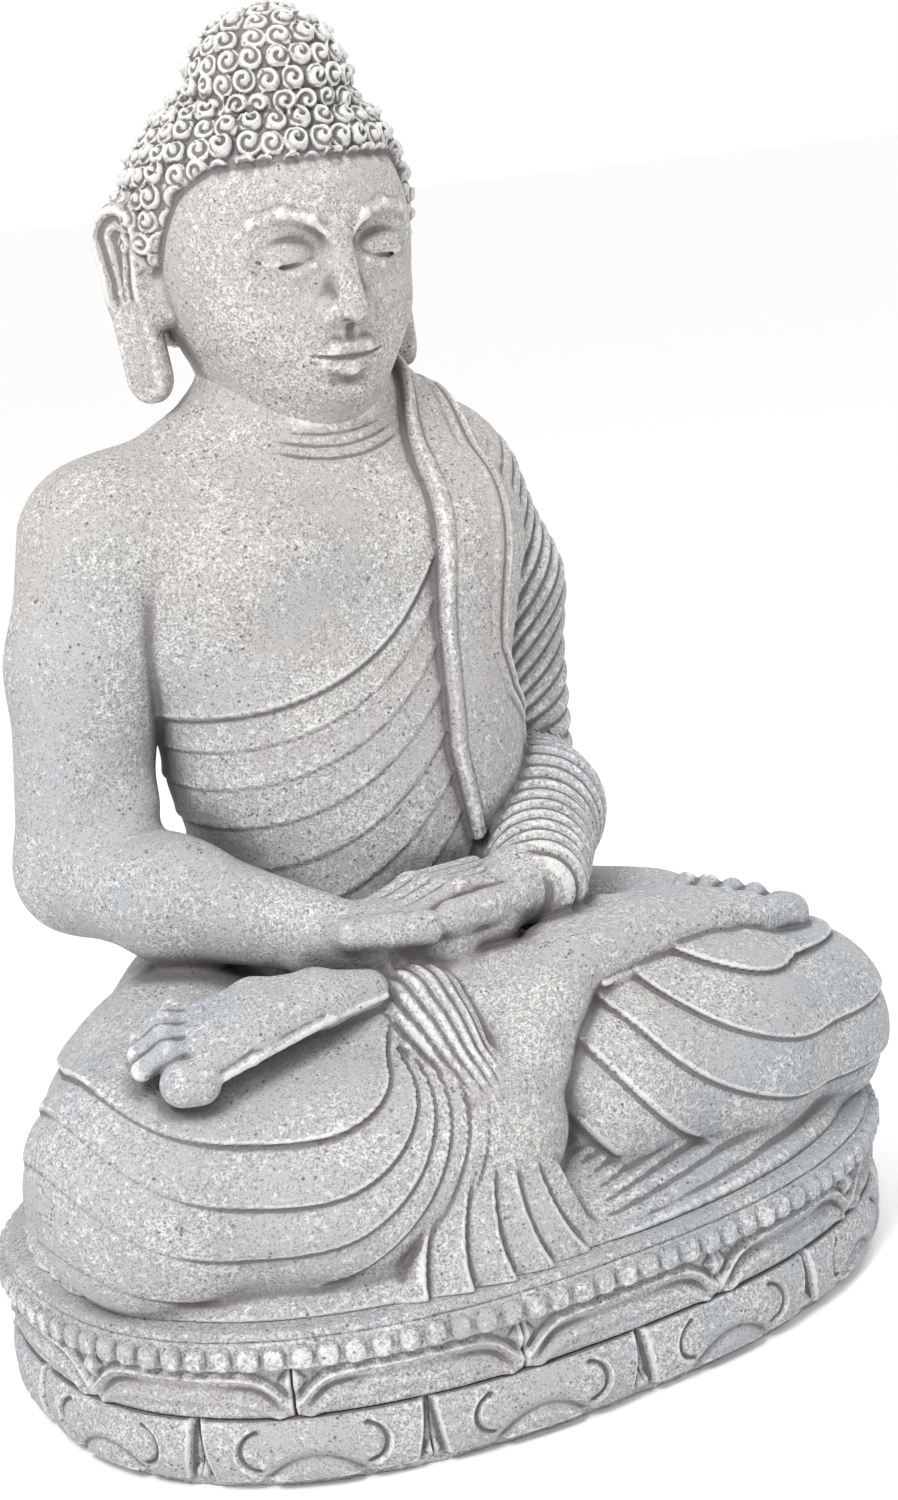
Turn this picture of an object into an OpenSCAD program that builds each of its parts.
// Seated figure statue on a lotus throne, cast stone around a steel armature.
// Millimetres. +Z is up, the figure faces -Y, and its own right side is at -X.
// The origin is the centre of the throne's underside, where the statue stands.

/* [Throne] */
// Width of the throne across the beads
throne_w = 720; // [560:10:880]
// Depth of the throne across the beads
throne_d = 524; // [440:10:640]
// Squareness of the throne's plan, 2 is an ellipse
throne_square = 2.35; // [2:0.05:3]
// Height of the rough foot slab
foot_h = 14; // [8:1:30]
// Height of the lower lotus course
lower_h = 40; // [30:1:60]
// Height of the upper lotus course
upper_h = 38; // [28:1:60]
// Height of the beaded band
band_h = 20; // [16:1:30]
// Height of the smooth seat slab above the beads
seat_t = 6; // [4:1:20]
// Inset of the foot slab from the throne's edge
foot_inset = 12; // [6:1:24]
// Inset of the two lotus cores behind their petals
core_inset = 18; // [12:1:30]
// Inset of the seat slab from the throne's edge
seat_inset = 9; // [6:1:20]

/* [Lotus] */
// Number of petals in each course
petal_count = 12; // [8:1:16]
// Flats of the throne's outline behind each petal
flats_per_petal = 9; // [5:1:11]
// How far a lower petal stands out from its core
lower_petal_out = 17; // [8:1:24]
// How far an upper petal stands out from its core
upper_petal_out = 13; // [6:1:20]
// Gap between two petals, as a share of one flat
petal_gap = 0.05; // [0.02:0.01:0.2]
// Thickness left where two petals meet
petal_edge = 4; // [2:0.5:8]
// Diameter of a bead across its corners
bead_d = 19; // [12:0.5:20]
// How far a bead stands out from its band
bead_out = 8; // [4:0.5:12]

/* [Legs] */
// Half the distance between the two hips
hip_x = 112; // [90:1:130]
// Half the distance between the two knee centres
knee_x = 268; // [240:1:280]
// How far forward of the throne's centre the knees are
knee_fwd = 70; // [40:1:90]
// Radius of a thigh at the hip
hip_r = 116; // [100:1:125]
// Radius of a covered knee
knee_r = 90; // [80:1:96]
// Radius of a shin where the two cross
shin_r = 62; // [50:1:70]
// Radius of a foot across the ball
foot_r = 27; // [22:1:34]
// Radius of a toe
toe_r = 9; // [7:0.5:11]

/* [Robe] */
// Number of pleats in the fan of cloth below the crossed shins
fan_pleats = 5; // [3:1:7]
// Width of that fan along the seat
fan_w = 190; // [140:5:240]
// Radius of one pleat of the fan
fan_r = 19; // [14:1:24]
// Inset of the skirt of cloth from the throne's edge, where it lies on the seat
skirt_inset = 26; // [20:1:40]
// Height of the skirt above the seat
skirt_h = 74; // [50:1:90]
// Inset of the skirt from the throne's edge at its top
skirt_top_inset = 104; // [80:1:130]
// Thickness of the folded cloth over the left shoulder
sash_t = 9; // [6:1:14]
// Width of the folded cloth at its lower end
sash_w = 86; // [60:2:110]

/* [Body] */
// Height of the shoulder centres above the seat
shoulder_z = 509; // [460:1:540]
// Half the distance between the shoulder centres
shoulder_x = 164; // [145:1:180]
// Radius of a shoulder
shoulder_r = 72; // [60:1:76]
// Radius of a bare elbow
elbow_r = 55; // [46:1:60]
// Radius of a wrist
wrist_r = 33; // [26:1:38]
// How far the right arm stands out beyond the shoulder's nominal place
right_arm_out = 8; // [0:1:12]
// How much closer to the body the left arm is held
left_arm_in = 27; // [0:1:30]
// Extra radius that the sleeve adds to the left arm
sleeve_t = 7; // [4:1:12]
// Radius of a palm
palm_r = 26; // [20:1:32]
// Radius of a finger bundle
finger_r = 13; // [9:1:16]

/* [Head] */
// Half the width of the skull at the temples
skull_r = 95; // [86:1:102]
// Height of the skull centre above the seat
skull_z = 734; // [700:1:760]
// Distance of the skull centre behind the throne's centre
skull_y = 108; // [96:1:130]
// Radius of the neck
neck_r = 76; // [60:1:82]
// Thickness of the curled hair over the skull
hair_t = 13; // [8:1:20]
// Half the width of the domed topknot
topknot_r = 66; // [50:1:76]
// Height of the whole statue above the ground
total_h = 1000; // [940:5:1060]
// Height of an ear
ear_h = 160; // [130:2:190]
// Thickness of an ear
ear_t = 20; // [14:1:28]
// Diameter of the round mark on the forehead
urna_d = 17; // [10:1:22]

/* [Steel] */
// Diameter of the upright bar through throne, body and head
spine_d = 16; // [12:1:20]
// Diameter of the shoulder, arm and knee bars
bar_d = 10; // [8:1:12]
// Diameter of the long and the cross bars in the throne
grid_d = 10; // [8:1:12]
// Room in the stone around each bar
bar_room = 1; // [0.5:0.5:2]
// Cover of stone between a bar's end and the outside
cover = 28; // [20:1:40]

/* [Hidden] */

stone = [0.66, 0.66, 0.64];
stone_dark = [0.58, 0.58, 0.57];
stone_pale = [0.72, 0.71, 0.68];
rusty_steel = [0.42, 0.30, 0.24];

ball_fn = 20;      // facets round a limb's balls
slice_fn = 32;     // corners of a body section
small = 0.2;       // thickness of a section before it is hulled
far = 2000;        // size of a cutting block
tuck = 1;          // how far a forearm's end sits inside the elbow

// heights of the throne's courses
z_lower = foot_h;
z_upper = z_lower + lower_h;
z_band = z_upper + upper_h;
z_seat = z_band + band_h;
seat_z = z_seat + seat_t;
flats = petal_count * flats_per_petal;

// ---------------------------------------------------------------- plan of the throne

function sgnpow(v, e) = sign(v) * pow(abs(v), e);
function plan_point(t, inset) = [
    (throne_w / 2 - inset) * sgnpow(cos(t), 2 / throne_square),
    (throne_d / 2 - inset) * sgnpow(sin(t), 2 / throne_square)];

// angle against distance walked round the outline, for even spacing
walk_steps = 720;
walk_pts = [for (i = [0:walk_steps]) plan_point(i * 360 / walk_steps, 0)];
function walk_sum(i, s, out) = i > walk_steps ? out :
    let (d = s + norm(walk_pts[i] - walk_pts[i - 1]))
    walk_sum(i + 1, d, concat(out, [[d, i * 360 / walk_steps]]));
walk = walk_sum(1, 0, [[0, 0]]);
girth = walk[walk_steps][0];
function angle_at(share) = lookup(share * girth, walk);

// corner i of the outline, inset from the beads' outer faces
function corner(i, inset) = plan_point(angle_at((i % flats) / flats), inset);
function outline(inset) = [for (i = [0:flats - 1]) corner(i, inset)];

module plan_slab(z, h, inset) {
    translate([0, 0, z])
        linear_extrude(height = h)
            polygon(outline(inset));
}

// corner i of a petal, with its two end corners drawn in along the outline's flats
function petal_corner(first, i, inset) =
    i == 0 ? corner(first, inset) * (1 - petal_gap) + corner(first + 1, inset) * petal_gap :
    i == flats_per_petal ?
        corner(first + i, inset) * (1 - petal_gap) + corner(first + i - 1, inset) * petal_gap :
    corner(first + i, inset);

// one petal: the strip between the core and a bulging outer line
module petal(index, shift, z, h, out) {
    first = index * flats_per_petal + shift;
    inner = [for (i = [0:flats_per_petal]) petal_corner(first, i, core_inset)];
    outer = [for (i = [flats_per_petal:-1:0])
        let (u = 2 * i / flats_per_petal - 1, grow = petal_edge + (out - petal_edge) * (1 - u * u * u * u))
        petal_corner(first, i, core_inset - grow)];
    translate([0, 0, z])
        linear_extrude(height = h)
            polygon(concat(inner, outer));
}

// ---------------------------------------------------------------- body forms

function at(x, y, z) = [x, y, z + seat_z];
function flip(p) = [-p[0], p[1], p[2]];
function flipped(list) = [for (p = list) flip(p)];

module ball(c, r) {
    translate(c)
        sphere(r = r, $fn = ball_fn);
}

// a chain of tapering limbs through a row of points
module limb(points, radii) {
    for (i = [0:len(points) - 2])
        hull() {
            ball(points[i], radii[i]);
            ball(points[i + 1], radii[i + 1]);
        }
}

// one level section of the body: height, centre y, half width, half depth
module slice(s) {
    translate(at(0, s[1], s[0]))
        linear_extrude(height = small)
            polygon([for (i = [0:slice_fn - 1])
                let (t = i * 360 / slice_fn)
                [s[2] * sgnpow(cos(t), 0.9), s[3] * sgnpow(sin(t), 0.9)]]);
}

module loft(sections) {
    for (i = [0:len(sections) - 2])
        hull() {
            slice(sections[i]);
            slice(sections[i + 1]);
        }
}

// everything below the seat
module below_seat() {
    translate([-far / 2, -far / 2, seat_z - far])
        cube([far, far, far]);
}

// a round bar, or the hole for it
module bar(a, b, d, fn = 48) {
    v = b - a;
    translate(a)
        rotate([0, acos(v[2] / norm(v)), atan2(v[1], v[0])])
            cylinder(h = norm(v), d = d, $fn = fn);
}

torso_sections = [
    [0, 112, 190, 114], [90, 111, 178, 115], [190, 100, 150, 112], [270, 92, 138, 110],
    [350, 92, 146, 112], [420, 98, 166, 112], [shoulder_z - 26, 106, 186, 104],
    [shoulder_z + 22, 112, 184, 90], [shoulder_z + 52, 116, 160, 76],
    [shoulder_z + 74, 118, 118, 68], [shoulder_z + 86, 118, 86, 62]];

hip = at(hip_x, 108, 84);
thigh = at(205, 10, 86);
knee = at(knee_x, -knee_fwd, 82);
shin = at(168, -132, 74);
shin_end = at(56, -158, 82);
leg_radii = [hip_r, 100, knee_r, 76, shin_r];
left_leg_path = [hip, thigh + [0, 0, -4], knee + [10, -14, -26], shin, shin_end];
left_leg_radii = [hip_r, 94, knee_r - 10, 76, shin_r];
right_leg_path = flipped([hip, thigh, knee, shin, shin_end]);

fan_top = at(-50, -200, 104);
fan_mid_x = -108;
fan_mid_y = -222;

foot_path = [at(96, -150, 168), at(160, -118, 176), at(226, -84, 172)];
foot_radii = [24, foot_r, foot_r];
toe_count = 5;

elbow = at(208, 126, 258);
wrist = at(112, -50, 222);
shoulder = at(shoulder_x, 117, shoulder_z);
palm_left = [at(88, -78, 212), at(20, -98, 204), at(-42, -96, 206)];
palm_right = [at(-88, -78, 218), at(-20, -92, 226), at(40, -86, 224)];

skull = at(0, skull_y, skull_z);
chin = at(0, skull_y - 48, skull_z - 136);
neck_base = at(0, 116, shoulder_z + 46);
neck_top = at(0, skull_y, skull_z - 90);
topknot_top = [0, skull_y - 18, total_h];
ear_mid = at(skull_r + 15, skull_y + 20, skull_z - 60);

sash_top = at(112, 108, shoulder_z + 78);
sash_low = at(84, 2, 258);

spine_y = 100;
shoulder_bar_y = spine_y + (spine_d + bar_d) / 2 + 4;

module torso_form() {
    loft(torso_sections);
}

module left_leg_form() {
    limb(left_leg_path, left_leg_radii);
}

module right_leg_form() {
    limb(right_leg_path, leg_radii);
}

module legs_form() {
    left_leg_form();
    right_leg_form();
}

// the cloth that fills the lap between the thighs and hangs between the shins
module lap_form() {
    hull() {
        ball(at(0, 0, 92), 84);
        ball(at(0, -70, 92), 84);
    }
    hull() {
        ball(at(-40, -70, 76), 80);
        ball(at(-52, -120, 64), 68);
    }
}

// the cloth that spreads over the seat under the legs
module skirt_form() {
    hull() {
        plan_slab(seat_z, small, skirt_inset);
        plan_slab(seat_z + 16, small, skirt_inset + 8);
        plan_slab(seat_z + skirt_h, small, skirt_top_inset);
    }
}

// a sole-up foot on the opposite thigh, with its row of toes
module foot_form() {
    limb(foot_path, foot_radii);
    for (i = [0:toe_count - 1])
        hull() {
            ball(foot_path[2] + [6, (i - 2) * 12, 4], toe_r + 2);
            ball(foot_path[2] + [30 - 3 * abs(i - 1), (i - 2) * 13, 6], toe_r);
        }
}

module left_hand_form() {
    limb(palm_left, [wrist_r - 6, palm_r, finger_r + 4]);
}

module right_hand_form() {
    limb(palm_right, [wrist_r - 6, palm_r - 4, finger_r]);
}

// the right arm hangs a little wide and the left one is held close, so each has its own offset
function arm_x(side, x) = side < 0 ? -(x + right_arm_out) : x - left_arm_in;

module forearm_form(side, extra) {
    limb([[arm_x(side, elbow[0]), elbow[1], elbow[2]],
          [arm_x(side, elbow[0] - 34), (elbow[1] + wrist[1]) / 2, elbow[2] - 12],
          [arm_x(side, wrist[0]), wrist[1], wrist[2]]],
         [elbow_r + extra - tuck, elbow_r - 6 + extra, wrist_r + extra]);
}

module upper_arm_form(side, extra) {
    limb([[arm_x(side, shoulder[0]), shoulder[1], shoulder[2] - (side > 0 ? left_arm_in / 3 : 0)],
          [arm_x(side, shoulder[0] + 24), shoulder[1] + 4, (shoulder[2] + elbow[2]) / 2 + 30],
          [arm_x(side, elbow[0]), elbow[1], elbow[2]]],
         [shoulder_r, shoulder_r - 12 + extra, elbow_r + extra]);
}

module arms_form() {
    upper_arm_form(-1, 0);
    forearm_form(-1, 0);
    upper_arm_form(1, sleeve_t);
    forearm_form(1, sleeve_t);
}

module neck_form() {
    limb([neck_base, neck_top], [neck_r, neck_r - 10]);
}

module head_form() {
    hull() {
        ball(skull + [0, 0, -10], skull_r);
        ball(skull + [0, 10, -14], skull_r - 2);
        ball(chin + [0, 0, 24], 48);
        ball(chin + [0, 20, 62], 74);
    }
}

module hair_form() {
    hull() {
        ball(skull + [0, 6, -10], skull_r + hair_t);
        ball(skull + [0, 14, -30], skull_r + hair_t - 4);
    }
}

module topknot_form() {
    hull() {
        ball(topknot_top - [0, 0, topknot_r], topknot_r);
        ball(topknot_top - [0, -10, topknot_r + 26], topknot_r + 4);
    }
}

module ear_form(side) {
    hull()
        for (p = [[0, -6, ear_h / 2 - 22, 20], [8, 4, ear_h / 2 - 26, 19], [0, 0, 0, 12],
                  [-2, -4, -ear_h / 2 + 14, 13]])
            translate([side * (ear_mid[0] + p[0]), ear_mid[1] + p[1], ear_mid[2] + p[2]])
                scale([ear_t / 40, 1, 1])
                    sphere(r = p[3], $fn = ball_fn);
}

// ---------------------------------------------------------------- steel

// the long bars lie in grooves between the two lotus courses, the cross bars on top of the upper one
long_bar_x = throne_w / 2 - core_inset - cover - 60;
long_bar_ys = [-120, 150];
cross_bar_y = throne_d / 2 - core_inset - cover - 30;
cross_bar_xs = [-180, -60, 60, 180];

module long_bars_form(d) {
    for (y = long_bar_ys)
        bar([-long_bar_x, y, z_upper], [long_bar_x, y, z_upper], d);
}

module cross_bars_form(d) {
    for (x = cross_bar_xs)
        bar([x, -cross_bar_y, z_band], [x, cross_bar_y, z_band], d);
}

module spine_form(d) {
    bar([0, spine_y, foot_h + cover], [0, spine_y, skull[2] + skull_r - cover - 20], d);
}

shoulder_bar_x = shoulder_x - 6;
module shoulder_bar_form(d) {
    bar([-shoulder_bar_x, shoulder_bar_y, shoulder[2]], [shoulder_bar_x, shoulder_bar_y, shoulder[2]], d);
}

// runs from below the shoulder bar's end down past the elbow into the forearm
module upper_arm_bar_form(side, d) {
    a = [arm_x(side, shoulder[0] + 8), shoulder[1] + 4, shoulder[2] - 20];
    b = [arm_x(side, elbow[0] - 30), elbow[1] - 56, elbow[2] - 20];
    bar(a, b, d);
}

// lies above the upper arm's bar at the elbow and ends in the hand
module forearm_bar_form(side, d) {
    a = [arm_x(side, elbow[0] - 4), elbow[1] - 6, elbow[2] + 30];
    b = [arm_x(side, wrist[0] - 14), wrist[1] - 12, wrist[2] - 4];
    bar(a, b, d);
}

module knee_bar_form(side, d) {
    a = [side * (hip_x - 20), hip[1] - 20, seat_z + 60];
    b = [side * (knee_x - 6), knee[1] + 6, seat_z + 66];
    bar(a, b, d);
}

// the holes that the steel needs, kept in one place
module steel_holes() {
    grow = 2 * bar_room;
    spine_form(spine_d + grow);
    shoulder_bar_form(bar_d + grow);
    for (side = [-1, 1]) {
        upper_arm_bar_form(side, bar_d + grow);
        forearm_bar_form(side, bar_d + grow);
        knee_bar_form(side, bar_d + grow);
    }
}

// ---------------------------------------------------------------- throne

module foot_slab() {
    color(stone_dark)
        plan_slab(0, foot_h, foot_inset);
}

module lower_core() {
    color(stone_dark)
        difference() {
            plan_slab(z_lower, lower_h, core_inset);
            long_bars_form(grid_d + 2 * bar_room);
            spine_form(spine_d + 2 * bar_room);
        }
}

module lower_petals() {
    color(stone)
        for (i = [0:petal_count - 1])
            petal(i, 0, z_lower, lower_h, lower_petal_out);
}

module upper_core() {
    color(stone_dark)
        difference() {
            plan_slab(z_upper, upper_h, core_inset);
            long_bars_form(grid_d + 2 * bar_room);
            cross_bars_form(grid_d + 2 * bar_room);
            spine_form(spine_d + 2 * bar_room);
        }
}

module upper_petals() {
    color(stone)
        for (i = [0:petal_count - 1])
            petal(i, floor(flats_per_petal / 2), z_upper, upper_h, upper_petal_out);
}

module bead_band() {
    color(stone_dark)
        difference() {
            plan_slab(z_band, band_h, bead_out);
            cross_bars_form(grid_d + 2 * bar_room);
            spine_form(spine_d + 2 * bar_room);
        }
}

module beads() {
    color(stone_pale)
        for (i = [0:flats - 1]) {
            a = corner(i, bead_out);
            b = corner(i + 1, bead_out);
            mid = (a + b) / 2;
            translate([mid[0], mid[1], z_band + band_h / 2])
                rotate([0, 90, atan2(b[1] - a[1], b[0] - a[0]) - 90])
                    rotate([0, 0, 22.5])
                        cylinder(h = bead_out, d = bead_d, $fn = 8);
        }
}

module seat_slab() {
    color(stone)
        difference() {
            plan_slab(z_seat, seat_t, seat_inset);
            spine_form(spine_d + 2 * bar_room);
        }
}

// ---------------------------------------------------------------- figure

module torso() {
    color(stone)
        difference() {
            torso_form();
            arms_form();
            steel_holes();
        }
}

module right_leg() {
    color(stone)
        difference() {
            right_leg_form();
            torso_form();
            below_seat();
            steel_holes();
        }
}

module left_leg() {
    color(stone)
        difference() {
            left_leg_form();
            right_leg_form();
            torso_form();
            below_seat();
            steel_holes();
        }
}

module robe_lap() {
    color(stone)
        difference() {
            lap_form();
            legs_form();
            torso_form();
            below_seat();
        }
}

module robe_skirt() {
    color(stone)
        difference() {
            skirt_form();
            legs_form();
            lap_form();
            torso_form();
        }
}

module robe_fan() {
    color(stone_pale)
        difference() {
            for (i = [0:fan_pleats - 1])
                let (u = i / (fan_pleats - 1) - 0.5)
                hull() {
                    ball(fan_top, fan_r - 4);
                    ball(at(fan_mid_x + fan_w * u, fan_mid_y - 20 * u + 40 * u * u, fan_r - 2), fan_r);
                }
            legs_form();
            lap_form();
            skirt_form();
            below_seat();
        }
}

module right_foot() {
    color(stone)
        difference() {
            foot_form();
            legs_form();
            lap_form();
        }
}

module left_foot() {
    color(stone)
        difference() {
            mirror([1, 0, 0])
                foot_form();
            legs_form();
            lap_form();
        }
}

module left_hand() {
    color(stone)
        difference() {
            left_hand_form();
            torso_form();
            legs_form();
            lap_form();
        }
}

module right_hand() {
    color(stone)
        difference() {
            right_hand_form();
            left_hand_form();
            torso_form();
            legs_form();
            lap_form();
        }
}

module right_forearm() {
    color(stone)
        difference() {
            forearm_form(-1, 0);
            upper_arm_form(-1, 0);
            right_hand_form();
            left_hand_form();
            legs_form();
            steel_holes();
        }
}

module left_lower_sleeve() {
    color(stone_pale)
        difference() {
            forearm_form(1, sleeve_t);
            upper_arm_form(1, sleeve_t);
            left_hand_form();
            right_hand_form();
            legs_form();
            steel_holes();
        }
}

module right_upper_arm() {
    color(stone)
        difference() {
            upper_arm_form(-1, 0);
            neck_form();
            legs_form();
            steel_holes();
        }
}

module left_upper_sleeve() {
    color(stone_pale)
        difference() {
            upper_arm_form(1, sleeve_t);
            neck_form();
            legs_form();
            steel_holes();
        }
}

// folded cloth that hangs from the left shoulder down the chest
module shoulder_sash() {
    steps = 6;
    color(stone_pale)
        difference() {
            for (i = [0:steps - 1])
                hull()
                    for (k = [i, i + 1]) {
                        u = k / steps;
                        w = 24 + (sash_w / 2 - 24) * u;
                        y = 60 - 95 * sin(90 * min(1, 1.6 * u)) + 34 * u * u;
                        z = sash_top[2] + (sash_low[2] - sash_top[2]) * u;
                        x = sash_top[0] + (sash_low[0] - sash_top[0]) * u;
                        for (s = [-1, 1])
                            ball([x + s * w, y + 14 * (s + 1) / 2 + 26 * (1 - u), z - 8 * (1 - s)], sash_t + 8);
                    }
            torso_form();
            upper_arm_form(1, sleeve_t);
            forearm_form(1, sleeve_t);
            neck_form();
            left_hand_form();
            right_hand_form();
        }
}

module neck() {
    color(stone)
        difference() {
            neck_form();
            torso_form();
            head_form();
            steel_holes();
        }
}

module head() {
    color(stone)
        difference() {
            head_form();
            torso_form();
            steel_holes();
        }
}

module right_ear() {
    color(stone)
        difference() {
            ear_form(-1);
            head_form();
            neck_form();
            torso_form();
        }
}

module left_ear() {
    color(stone)
        difference() {
            ear_form(1);
            head_form();
            neck_form();
            torso_form();
        }
}

module hair_cap() {
    brow = skull[2] + 20;
    color(stone_dark)
        difference() {
            hair_form();
            head_form();
            neck_form();
            torso_form();
            ear_form(-1);
            ear_form(1);
            // hairline: across the forehead, then down behind the ears
            translate([-far / 2, -far + skull[1] - 50, brow - far + 4])
                cube([far, far, far]);
            translate([-far / 2, -far + skull[1] + 10, skull[2] - 30 - far])
                cube([far, far, far]);
            translate([-far / 2, -far / 2, skull[2] - 96 - far])
                cube([far, far, far]);
        }
}

module topknot() {
    color(stone_dark)
        difference() {
            topknot_form();
            hair_form();
            head_form();
            torso_form();
        }
}

module forehead_urna() {
    color(stone_pale)
        difference() {
            ball([0, skull[1] - skull_r - 1, skull[2] - 8], urna_d / 2);
            head_form();
            torso_form();
        }
}

// ---------------------------------------------------------------- armature

module spine_bar() {
    color(rusty_steel)
        spine_form(spine_d);
}

module shoulder_bar() {
    color(rusty_steel)
        shoulder_bar_form(bar_d);
}

module right_upper_arm_bar() {
    color(rusty_steel)
        upper_arm_bar_form(-1, bar_d);
}

module left_upper_arm_bar() {
    color(rusty_steel)
        upper_arm_bar_form(1, bar_d);
}

module right_forearm_bar() {
    color(rusty_steel)
        forearm_bar_form(-1, bar_d);
}

module left_forearm_bar() {
    color(rusty_steel)
        forearm_bar_form(1, bar_d);
}

module knee_bars() {
    color(rusty_steel) {
        knee_bar_form(-1, bar_d);
        knee_bar_form(1, bar_d);
    }
}

module throne_long_bars() {
    color(rusty_steel)
        long_bars_form(grid_d);
}

module throne_cross_bars() {
    color(rusty_steel)
        cross_bars_form(grid_d);
}

foot_slab();
lower_core();
lower_petals();
upper_core();
upper_petals();
bead_band();
beads();
seat_slab();
right_leg();
left_leg();
robe_lap();
robe_skirt();
robe_fan();
right_foot();
left_foot();
torso();
shoulder_sash();
right_upper_arm();
right_forearm();
left_upper_sleeve();
left_lower_sleeve();
right_hand();
left_hand();
neck();
head();
hair_cap();
topknot();
right_ear();
left_ear();
forehead_urna();
spine_bar();
shoulder_bar();
right_upper_arm_bar();
left_upper_arm_bar();
right_forearm_bar();
left_forearm_bar();
knee_bars();
throne_long_bars();
throne_cross_bars();
